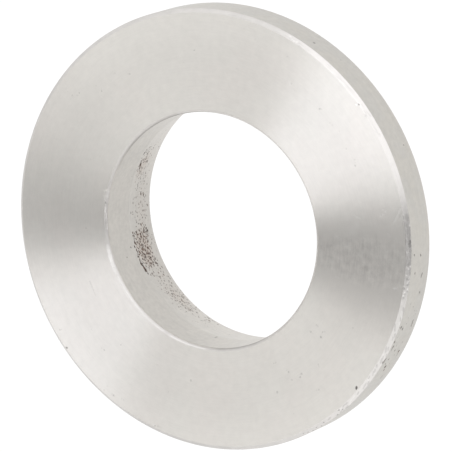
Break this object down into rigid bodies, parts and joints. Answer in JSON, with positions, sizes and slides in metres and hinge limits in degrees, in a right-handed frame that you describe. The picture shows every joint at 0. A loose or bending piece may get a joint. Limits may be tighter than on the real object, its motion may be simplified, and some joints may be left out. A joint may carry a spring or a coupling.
{
  "type": "ball-faced washer",
  "caption": "Thick turned steel washer with a flat face, a short cylindrical rim, a convex ball face at the back and a bore that opens out towards it.",
  "frame": {"origin": "on the axis, in the plane of the narrow flat land round the bore at the back, which the washer rests on", "axes": "+Z along the axis, out of the flat face; X and Y are alike"},
  "size_m": [0.0936, 0.0936, 0.0213],
  "materials": {
    "turned_steel": "bare turned steel, fine circular tool marks, a few nicks, and rust pits in the bore"
  },
  "bodies": {
    "root": {"washer": "turned_steel"}
  },
  "joints": []
}
